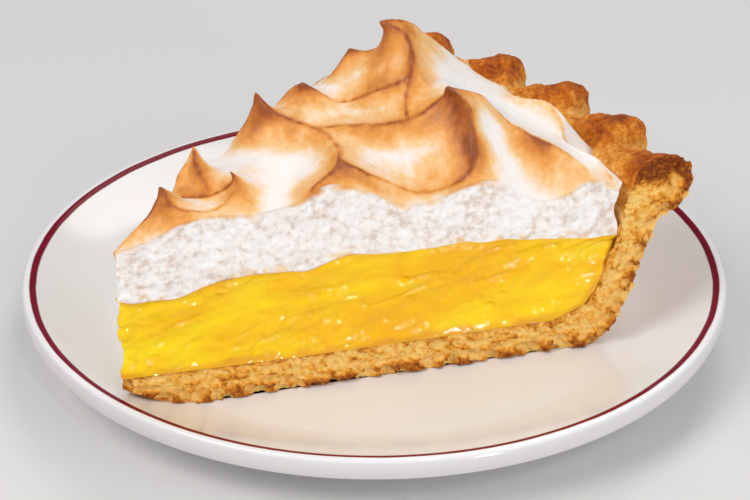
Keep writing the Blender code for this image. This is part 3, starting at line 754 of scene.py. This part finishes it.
def make_plate():
    profile = [(0.0, PLATE_FLOOR_HEIGHT)]
    profile += [(radius, PLATE_FLOOR_HEIGHT) for radius in (15.0, 30.0, 45.0, 55.0)]
    profile += [(radius, plate_top(radius)) for radius in np.linspace(PLATE_FLOOR_RADIUS, RIM_RADIUS, 26)]
    roll_middle = profile[-1][1] - ROLL_HEIGHT * 0.94
    for turned in np.radians(np.linspace(78.0, -88.0, 20)):
        profile.append((PLATE_RADIUS + ROLL_WIDTH * (math.cos(turned) - 1.0),
                        roll_middle + ROLL_HEIGHT * math.sin(turned)))
    under_edge, shoulder = profile[-1], (FOOT_OUTER_RADIUS + 12.0, FOOT_HEIGHT + 0.6)
    for share in np.linspace(0.1, 1.0, 10):
        profile.append(tuple(mix(a, b, share) for a, b in zip(under_edge, shoulder)))
    foot_middle, foot_half = (FOOT_OUTER_RADIUS + FOOT_INNER_RADIUS) / 2.0, FOOT_FLAT_WIDTH / 2.0
    profile += [
        (FOOT_OUTER_RADIUS + 3.0, FOOT_HEIGHT + 0.05), (FOOT_OUTER_RADIUS, FOOT_HEIGHT - 0.3),
        (foot_middle + foot_half + 0.3, 0.25), (foot_middle + foot_half, 0.0),
        (foot_middle - foot_half, 0.0), (foot_middle - foot_half - 0.3, 0.25),
        (FOOT_INNER_RADIUS, FOOT_HEIGHT - 0.3), (FOOT_INNER_RADIUS - 2.0, FOOT_HEIGHT),
        (20.0, FOOT_HEIGHT), (0.0, FOOT_HEIGHT),
    ]
    profile = np.array(profile) * MM
    angles = np.linspace(0.0, 2.0 * math.pi, PLATE_STEPS, endpoint=False)
    rings = profile[1:-1]
    vertices = np.stack([np.outer(rings[:, 0], np.cos(angles)), np.outer(rings[:, 0], np.sin(angles)),
                         np.repeat(rings[:, 1:], PLATE_STEPS, axis=1)], axis=-1).reshape(-1, 3)
    ids = np.arange(len(vertices)).reshape(len(rings), PLATE_STEPS)
    ids = np.concatenate([ids, ids[:, :1]], axis=1)
    faces = grid_faces(ids)
    top, bottom = len(vertices), len(vertices) + 1
    vertices = np.concatenate([vertices, [[0.0, 0.0, profile[0, 1]], [0.0, 0.0, profile[-1, 1]]]])
    for i in range(PLATE_STEPS):
        faces.append([top, int(ids[0, i]), int(ids[0, i + 1])])
        faces.append([bottom, int(ids[-1, i + 1]), int(ids[-1, i])])
    piece = make_piece("china_plate", vertices, faces)
    finish_piece(piece, "plate", glaze_material())


def leaned(p):
    """Moves points of the meringue's top sideways where they belong to a peak that leans over."""
    moved = p.copy()
    for name, (lean_x, lean_y, tall, wide) in LEANS.items():
        peak_x, peak_y, peak_z = PEAKS[name]
        near = np.exp(-((p[:, 0] - peak_x) ** 2 + (p[:, 1] - peak_y) ** 2) / wide**2)
        share = near * smooth_step(peak_z - tall, peak_z, p[:, 2]) ** 1.5
        moved[:, 0] += lean_x * share
        moved[:, 1] += lean_y * share
    return moved


def lipped(p, nearest, heat):
    """Pushes the crests towards the front, so that they have a steep front and a gentle back."""
    share = heat * np.exp(-(nearest / 1.7) ** 2) * smooth_step(3.0, 9.0, from_corner(p))
    share *= smooth_step(0.5, 4.0, p[:, 1])
    share *= smooth_step(0.5, 3.0, SLICE_SINE * p[:, 0] - SLICE_COSINE * p[:, 1])  # fades at the far cut
    return p + share[:, None] * np.array([*LIP_PUSH, 0.0])


def crest_browning(x, y):
    """How far a place lies from the nearest crest, and how browned that stretch of crest is."""
    peaks = np.array(list(PEAKS.values()))
    line = np.concatenate([dense([place_of(stop) for stop in crest], spacing=0.4) for crest in CRESTS])
    near_peak = np.min(np.hypot(line[:, :1] - peaks[:, 0], line[:, 1:2] - peaks[:, 1]), axis=1)
    heat = 0.30 + 0.70 * np.exp(-near_peak / 5.0)
    nearest = np.full(x.shape, 1e9)
    browned = np.zeros(x.shape)
    for (line_x, line_y, _), own in zip(line, heat):
        away = np.hypot(x - line_x, y - line_y)
        closer = away < nearest
        nearest = np.where(closer, away, nearest)
        browned = np.where(closer, own, browned)
    return nearest, browned


def toasting(p, heights, nearest, heat):
    """Browning of the meringue's skin, from 0 for white foam to 1 for dark brown."""
    x, y, z = p.T
    soft = blurred(heights, 0.8)
    slope_x = sample(soft, x + 0.5, y) - sample(soft, x - 0.5, y)
    slope_y = sample(soft, x, y + 0.5) - sample(soft, x, y - 0.5)
    facing = 0.5 + 0.5 * np.tanh(1.6 * (0.55 * slope_x + 0.85 * slope_y) - 0.15)
    facing = mix(facing, 0.60, smooth_step(36.0, 46.0, y))  # the far side is toasted all round
    relief = sample(heights - blurred(heights, 6.0), x, y)
    streaks = layered_noise(np.stack([x * 0.9, y * 0.9, z * 0.3], axis=1), 2.2, 83)
    patches = layered_noise(p, 11.0, 81, layers=2)
    grains = np.clip(layered_noise(p, 1.1, 85, layers=2) * 1.6, -0.5, 1.0)
    line = (0.16 + 0.26 * heat) * np.exp(-(nearest / 0.5) ** 2) * (1.0 + 0.8 * grains)
    flank = (0.36 + 0.14 * heat) * np.exp(-(nearest / 6.0) ** 1.8) * (0.02 + 1.15 * facing)
    lifted = 0.035 * np.clip(relief, -1.0, 4.0)
    tips = 0.0
    for name, (peak_x, peak_y, peak_z) in PEAKS.items():
        away_squared = (x - peak_x) ** 2 + (y - peak_y) ** 2 + 0.5 * (z - peak_z) ** 2
        tips = tips + PEAK_TOAST.get(name, PEAK_TOAST_USUAL) * np.exp(-away_squared / PEAK_TOAST_SPREAD**2)
    toast = (0.02 + line + flank + lifted) * (1.0 + 0.45 * patches + 0.35 * streaks) + tips
    for spot_x, spot_y, spread, share in TOAST_SPOTS:
        toast = toast * (1.0 + share * np.exp(-((x - spot_x) ** 2 + (y - spot_y) ** 2) / spread**2))
    return np.clip(toast, 0.0, TOAST_DARKEST)


def meringue_lattice(heights):
    """The meringue's bent box under a film of these heights, and its thickness at each place."""
    count_i, count_j, count_k = MERINGUE_POINTS
    distance = np.linspace(start_of(MERINGUE_TIP), REFERENCE_RADIUS - GAP, count_i)[:, None]
    side = np.linspace(0.0, 1.0, count_j)[None, :]
    x, y = plan(distance, side, MERINGUE_TIP)
    top = sample(heights, x.ravel(), y.ravel()).reshape(x.shape)
    low = filling_top(x, y) + GAP
    thickness = top - low
    z = low[:, :, None] + thickness[:, :, None] * np.linspace(0.0, 1.0, count_k)
    outward = smooth_step(0.86, 1.0, distance / REFERENCE_RADIUS)[:, :, None]
    angle = (side * SLICE_ANGLE)[:, :, None]
    wall, _ = flute(angle, z, inner_wall_distance(z))
    stretch = 1.0 + outward * ((wall - GAP) / (REFERENCE_RADIUS - GAP) - 1.0)
    return np.stack([x[:, :, None] * stretch, y[:, :, None] * stretch, z], axis=-1), thickness


def make_meringue():
    heights = film()
    lattice, thickness = meringue_lattice(heights)
    p, faces, place = lattice_skin(lattice, plain_floor=len(lattice))
    depth = thickness[place[:, 0], place[:, 1]] * (1.0 - share_up(place))
    above = p[:, 2] - filling_top(p[:, 0], p[:, 1])
    on_top = share_up(place) == 1.0
    normals = vertex_normals(p, faces)
    nearest, heat = crest_browning(p[:, 0], p[:, 1])
    toast = toasting(p, heights, nearest, heat)

    # The cuts: soft lumps, small pores and a few wide bubbles.
    lumps = layered_noise(p, 3.2, 3, layers=4, fall=0.75)
    near_pore, _ = spots(p, 1.9, 11, fill=0.7)
    pores = 1.0 - smooth_step(0.10, 0.45, near_pore)
    near_bubble, _ = spots(p, 8.0, 23, fill=0.35)
    bubbles = 1.0 - smooth_step(0.15, 0.22, near_bubble)
    face = (on_cut(place) & ~on_top).astype(float)
    cut = face * smooth_step(0.25, 1.5, depth + 0.9 * noise(p, 1.8, 29))
    fade = face * smooth_step(0.0, 1.5, depth) * smooth_step(0.0, 0.9, above)
    low_share = 1.0 - smooth_step(0.2, 1.8, above + 1.2 * noise(p, 2.2, 27))
    move = face * smooth_step(0.0, 1.0, depth) * FOAM_SWELL
    move += fade * (FOAM_LUMPS * lumps - FOAM_PORES * pores - FOAM_BUBBLES * bubbles)

    # The skin on top: faint swirl marks and waves.
    ripple = layered_noise(np.stack([p[:, 0], p[:, 1], p[:, 2] * 0.4], axis=1), 1.9, 5, layers=2)
    move += on_top * (SKIN_RIPPLES * ripple + SKIN_WAVES * noise(p, 4.5, 9))
    p = p + normals * move[:, None]
    p = np.where(on_top[:, None], leaned(lipped(p, nearest, heat)), p)

    # The foam rounds off at the near cut before it reaches the crust's wall.
    near_end = smooth_step(99.0, 110.0, from_corner(p)) * smooth_step(0.3, 6.0, above)
    near_end *= 1.0 - smooth_step(0.0, 7.0, p[:, 1])
    p[:, :2] += near_end[:, None] * np.array(FOAM_END_SHIFT)
    values = {
        "toast": toast,
        "cut": cut,
        # painted shade in the pores and bubbles of the cut foam
        "pit_shade": fade * np.clip(0.5 * pores + bubbles, 0.0, 1.0),
        "stain": face * low_share * 0.75 * smooth_step(0.0, 0.45, noise(p, 1.7, 33)),
    }
    piece = make_piece("meringue_foam", to_world(p), faces, values)
    finish_piece(piece, "meringue", meringue_material())


def filling_lattice():
    """The filling's bent box."""
    count_i, count_j, count_k = FILLING_POINTS
    share = np.linspace(0.0, 1.0, count_k)
    side = np.linspace(0.0, 1.0, count_j)[None, :, None]
    along = np.linspace(0.0, 1.0, count_i)[:, None, None]
    reach = inner_wall_distance(mix(*FILLING_AT_WALL, share))[None, None, :] - GAP
    distance = mix(start_of(FILLING_TIP), reach, along)
    x, y = plan(distance, side, FILLING_TIP)
    low = curve_through(CRUST_FLOOR, distance[:, :, 0]) + GAP
    low = np.repeat(low, count_j, axis=1)
    high = filling_top(x[:, :, -1], y[:, :, -1])
    z = low[:, :, None] + (high - low)[:, :, None] * share
    return np.stack([x, y, z], axis=-1)


def make_filling():
    p, faces, place = lattice_skin(filling_lattice())
    normals = vertex_normals(p, faces)
    up = share_up(place)

    # The cuts: a glossy surface with waves, folds, ripples and small beads, more of them higher up.
    inner = smooth_step(0.0, 0.10, up) * smooth_step(0.0, 0.05, 1.0 - up)
    swell = np.sin(math.pi * np.clip(up, 0, 1)) ** 0.6
    tilted = np.stack([p[:, 0] * 0.45, p[:, 1] * 0.6, p[:, 2] - p[:, 0] * 0.22], axis=1)
    waves = layered_noise(tilted, 6.5, 31, layers=2, fall=0.35)
    upper = smooth_step(0.45, 0.8, up)
    folds = np.clip(1.0 - np.abs(noise(tilted, 3.6, 35)) * 3.2, 0.0, 1.0)
    folds *= smooth_step(-0.1, 0.4, noise(p, 11.0, 36) + 0.6 * upper)
    ripples = layered_noise(tilted, 2.6, 34, layers=2, fall=0.4)
    ripples *= smooth_step(-0.3, 0.5, noise(p, 9.0, 32) + 0.6 * upper)
    dimples, _ = spots(p * np.array([0.6, 0.6, 1.0]), 2.8, 37, fill=0.5)
    beads = (1.0 - smooth_step(0.05, 0.38, dimples)) * smooth_step(0.0, 0.5, noise(p, 8.0, 38) + 0.45 * upper)
    tip = 1.0 - smooth_step(3.0, 13.0, from_corner(p))
    move = GEL_WAVES * waves + GEL_FOLDS * folds + GEL_RIPPLES * ripples + GEL_BEADS * beads
    move = on_cut(place) * (GEL_SWELL * swell + inner * (move + GEL_TIP * tip * smooth_step(0.55, 0.9, up)))
    p = p + normals * move[:, None]

    # Paler at the tip, and paler on the crests of the waves as a painted highlight. Browner where it soaks
    # into the crust, and darker along the top as painted shade under the meringue.
    pale = np.clip(0.5 * tip + 0.7 * smooth_step(0.1, 0.7, waves) * inner, 0.0, 1.0)
    to_crust = np.minimum(p[:, 2] - 7.6, inner_wall_distance(p[:, 2]) - from_corner(p))
    soak_and_shade = np.clip(0.85 * (1.0 - smooth_step(0.1, 2.2, to_crust + 1.1 * noise(p, 3.0, 39))), 0.0, 1.0)
    # Painted shade: a darker band along the top, under the meringue.
    soak_and_shade = np.maximum(soak_and_shade, 0.22 * smooth_step(0.86, 1.0, up))
    piece = make_piece("lemon_layer", to_world(p), faces, {"pale": pale, "soak_and_shade": soak_and_shade})
    finish_piece(piece, "lemon_filling", filling_material())


def even_path(stops, count):
    """A chain of (distance, height) stops as this many points, evenly spaced along it."""
    line = dense([(d, 0.0, h) for d, h in stops], spacing=0.2)[:, [0, 2]]
    run = np.concatenate([[0.0], np.cumsum(np.linalg.norm(np.diff(line, axis=0), axis=1))])
    at = np.linspace(0.0, run[-1], count)
    return np.stack([np.interp(at, run, line[:, 0]), np.interp(at, run, line[:, 1])], axis=1)


def crust_lattice():
    """The crust's bent box, from its outer side to its inner side, and how many stations its base has."""
    count_i, count_j, count_k = CRUST_POINTS
    start = start_of(CRUST_TIP)
    base_count = int(count_i * CRUST_BASE_SHARE)
    inner = np.concatenate([
        even_path([(start, CRUST_FLOOR[0][1])] + CRUST_FLOOR[1:], base_count),
        even_path([CRUST_FLOOR[-1]] + CRUST_INNER_WALL + CRUST_INNER_LIP + [CRUST_LIP_TOP],
                  count_i - base_count + 1)[1:],
    ])
    outer = np.concatenate([
        even_path([(start, 0.0), CRUST_OUTER_WALL[0]], base_count),
        even_path(CRUST_OUTER_WALL + CRUST_OUTER_LIP + [CRUST_LIP_TOP], count_i - base_count + 1)[1:],
    ])
    share = np.linspace(0.0, 1.0, count_k)[None, None, :]
    side = np.linspace(0.0, 1.0, count_j)[None, :, None]
    distance = mix(outer[:, 0][:, None, None], inner[:, 0][:, None, None], share)
    height = mix(outer[:, 1][:, None, None], inner[:, 1][:, None, None], share)
    distance = np.broadcast_to(distance, (count_i, count_j, count_k))
    height = np.broadcast_to(height, (count_i, count_j, count_k))
    fluted_distance, fluted_height = flute(side * SLICE_ANGLE, height, distance)
    x, y = plan(fluted_distance, side, CRUST_TIP)
    rest = resting_height(x, y) + TIP_LIFT * (1.0 - smooth_step(0.0, TIP_LIFT_REACH, distance - start))
    base_share = 1.0 - smooth_step(0.0, 8.0, height)
    z = fluted_height + rest * base_share
    return np.stack([x, y, z], axis=-1), base_count


def make_crust():
    lattice, base_count = crust_lattice()
    hidden = base_count - 20  # nothing of the base shows before this station
    p, faces, place = lattice_skin(lattice, joined_end=True, plain_floor=hidden, plain_top=hidden)
    normals = vertex_normals(p, faces)
    through = share_up(place)  # from the outer side to the inner side
    at_cut = on_cut(place)

    # The cut: flaky layers that follow the dough, and crumbly lumps at the lower edge.
    layers = np.stack([place[:, 0] / 8.0, place[:, 1] * 3.0, through * 5.0], axis=1)
    flakes = layered_noise(layers, 1.0, 51, layers=4, fall=0.7)
    fissures = np.clip(1.0 - np.abs(noise(layers * 0.8, 1.0, 55)) * 6.0, 0.0, 1.0)
    lump_away, lump_own = spots(p, 2.3, 61, fill=0.95)
    lumps = np.sqrt(np.clip(1.0 - (lump_away / 0.64) ** 2, 0.0, 1.0))
    low_edge = 1.0 - smooth_step(0.22, 0.50, through + 0.10 * noise(p, 5.0, 67))
    rough = layered_noise(p, 1.2, 63, fall=0.8)
    crumbs = low_edge * lumps * (0.8 + 0.7 * lump_own)
    blunt = 0.25 + 0.75 * smooth_step(1.0, 7.0, from_corner(p))
    layered = (CUT_FLAKES * flakes - CUT_FISSURES * fissures) * (1.0 - 0.7 * low_edge)
    move = at_cut * blunt * (layered + CUT_ROUGHNESS * rough + CUT_CRUMBS * crumbs - CUT_WEAR * low_edge)

    # The outside and the rim: an uneven hand-pressed surface with small blisters.
    visible = smooth_step(base_count - 30, base_count, place[:, 0].astype(float))
    pressed = layered_noise(p, 5.0, 71, fall=0.6)
    grit = layered_noise(p, 1.8, 73, fall=0.6)
    wrinkles = layered_noise(p * np.array([0.35, 0.35, 1.2]), 2.4, 77, fall=0.6)
    blister_away, _ = spots(p, 3.4, 75, fill=0.6)
    blisters = 1.0 - smooth_step(0.2, 0.6, blister_away)
    dough = DOUGH_SWELLS * pressed + DOUGH_GRIT * grit + DOUGH_WRINKLES * wrinkles + DOUGH_BLISTERS * blisters
    move += ~at_cut * visible * (dough - 0.1)
    p = p + normals * move[:, None]
    p[:, 2] = np.maximum(p[:, 2], resting_height(p[:, 0], p[:, 1]))

    # Baking: browner on the rim and most of all on its crowns.
    rim = smooth_step(33.0, 43.0, p[:, 2])
    angle = np.arctan2(p[:, 1], p[:, 0])
    crown = crowns(angle) * 0.5 + 0.5
    outer_side = (through < 0.5) * smooth_step(2.0, 14.0, p[:, 2])
    bake = 0.18 - 0.06 * outer_side * (1.0 - rim) + 0.34 * rim * crown + 0.20 * rim
    bake -= 0.16 * grit + 0.15 * pressed + 0.22 * wrinkles
    moist = smooth_step(0.80, 1.0, through) * (p[:, 2] < 28.0)
    lip = smooth_step(35.5, 41.5, p[:, 2])
    # Colour of the cut: painted shade in the fissures and in the gaps between the crumbs, and painted
    # highlights on the flakes, the raised rough bits and the crumb tops. It also holds real soaking under the
    # filling and real browning on the rim and lip.
    cut_tone_and_shade = 0.14 + (0.40 * fissures - 0.45 * flakes) * (1.0 - 0.7 * low_edge) - 0.40 * rough
    cut_tone_and_shade += 1.25 * low_edge * (0.50 - lumps) + 0.20 * moist + 0.10 * rim + 0.95 * lip
    values = {
        "bake": np.clip(bake, 0.0, 1.0),
        "cut": at_cut.astype(float),
        "cut_tone_and_shade": np.clip(cut_tone_and_shade, 0.0, 1.0),
    }
    piece = make_piece("fluted_crust", to_world(p), faces, values, sharp_angle=85.0)
    finish_piece(piece, "crust", crust_material())


# -------------------- studio

FLOOR_HALF_SIZE = 3.0
CAMERA_AZIMUTH, CAMERA_ELEVATION = -37.85, 28.83  # degrees
CAMERA_DISTANCE = 0.462
CAMERA_TARGET = (0.00367, 0.00447, 0.015)
CAMERA_LENS = 96.58

# Lamps: azimuth from the camera's own and elevation in degrees, distance, size, power and colour.
LAMPS = {
    "key": (-52, 46, 0.9, 0.45, 3.3, (1.0, 0.975, 0.955)),
    "fill": (48, 34, 1.1, 0.6, 1.7, (1.0, 0.985, 0.98)),
    "back": (160, 50, 1.0, 0.5, 2.2, (1.0, 0.98, 0.95)),
    "glint": (31, 9, 0.9, 0.08, 1.7, (1.0, 1.0, 1.0)),
    "high_glint": (16, 42, 0.9, 0.07, 0.45, (1.0, 1.0, 1.0)),
}
WORLD_COLOUR, WORLD_STRENGTH = (0.95, 0.97, 1.0, 1.0), 0.45


def make_floor():
    corners = np.array([(-1, -1, 0), (1, -1, 0), (1, 1, 0), (-1, 1, 0)]) * FLOOR_HALF_SIZE
    floor = make_piece("studio_floor", corners, [(0, 1, 2, 3)])
    shader = Shader("studio_floor")
    cloud = shader.noise(shader.place(), 400.0)
    tint = shader.ramp(cloud, [(0.3, (0.70, 0.69, 0.68)), (0.7, (0.74, 0.73, 0.72))])
    floor.data.materials.append(shader.finish(Base_Color=tint, Roughness=0.7))


def away(azimuth, elevation, distance):
    """A place this far from the camera's target, at an azimuth counted from the camera's own."""
    turned, raised = math.radians(CAMERA_AZIMUTH + azimuth), math.radians(elevation)
    level = math.cos(raised)
    direction = Vector((math.sin(turned) * level, -math.cos(turned) * level, math.sin(raised)))
    return Vector(CAMERA_TARGET) + direction * distance


def aimed(name, data, place):
    """A lamp or camera at a place, aimed at the target."""
    made = bpy.data.objects.new(name, data)
    made.location = place
    made.rotation_euler = (Vector(CAMERA_TARGET) - place).to_track_quat("-Z", "Y").to_euler()
    bpy.context.scene.collection.objects.link(made)
    return made


def make_studio():
    make_floor()
    for name, (azimuth, elevation, distance, size, power, colour) in LAMPS.items():
        light = bpy.data.lights.new(name, "AREA")
        light.shape = "DISK"
        light.size = size
        light.energy = power
        light.color = colour
        aimed(name, light, away(azimuth, elevation, distance))
    world = bpy.data.worlds.new("studio")
    world.use_nodes = True
    background = world.node_tree.nodes["Background"]
    background.inputs["Color"].default_value = WORLD_COLOUR
    background.inputs["Strength"].default_value = WORLD_STRENGTH
    bpy.context.scene.world = world
    data = bpy.data.cameras.new("camera")
    data.lens = CAMERA_LENS
    data.sensor_width = 36.0
    data.clip_start = 0.01
    bpy.context.scene.camera = aimed("camera", data, away(0, CAMERA_ELEVATION, CAMERA_DISTANCE))
    bpy.context.scene.view_settings.view_transform = "Standard"


make_plate()
make_crust()
make_filling()
make_meringue()
make_studio()
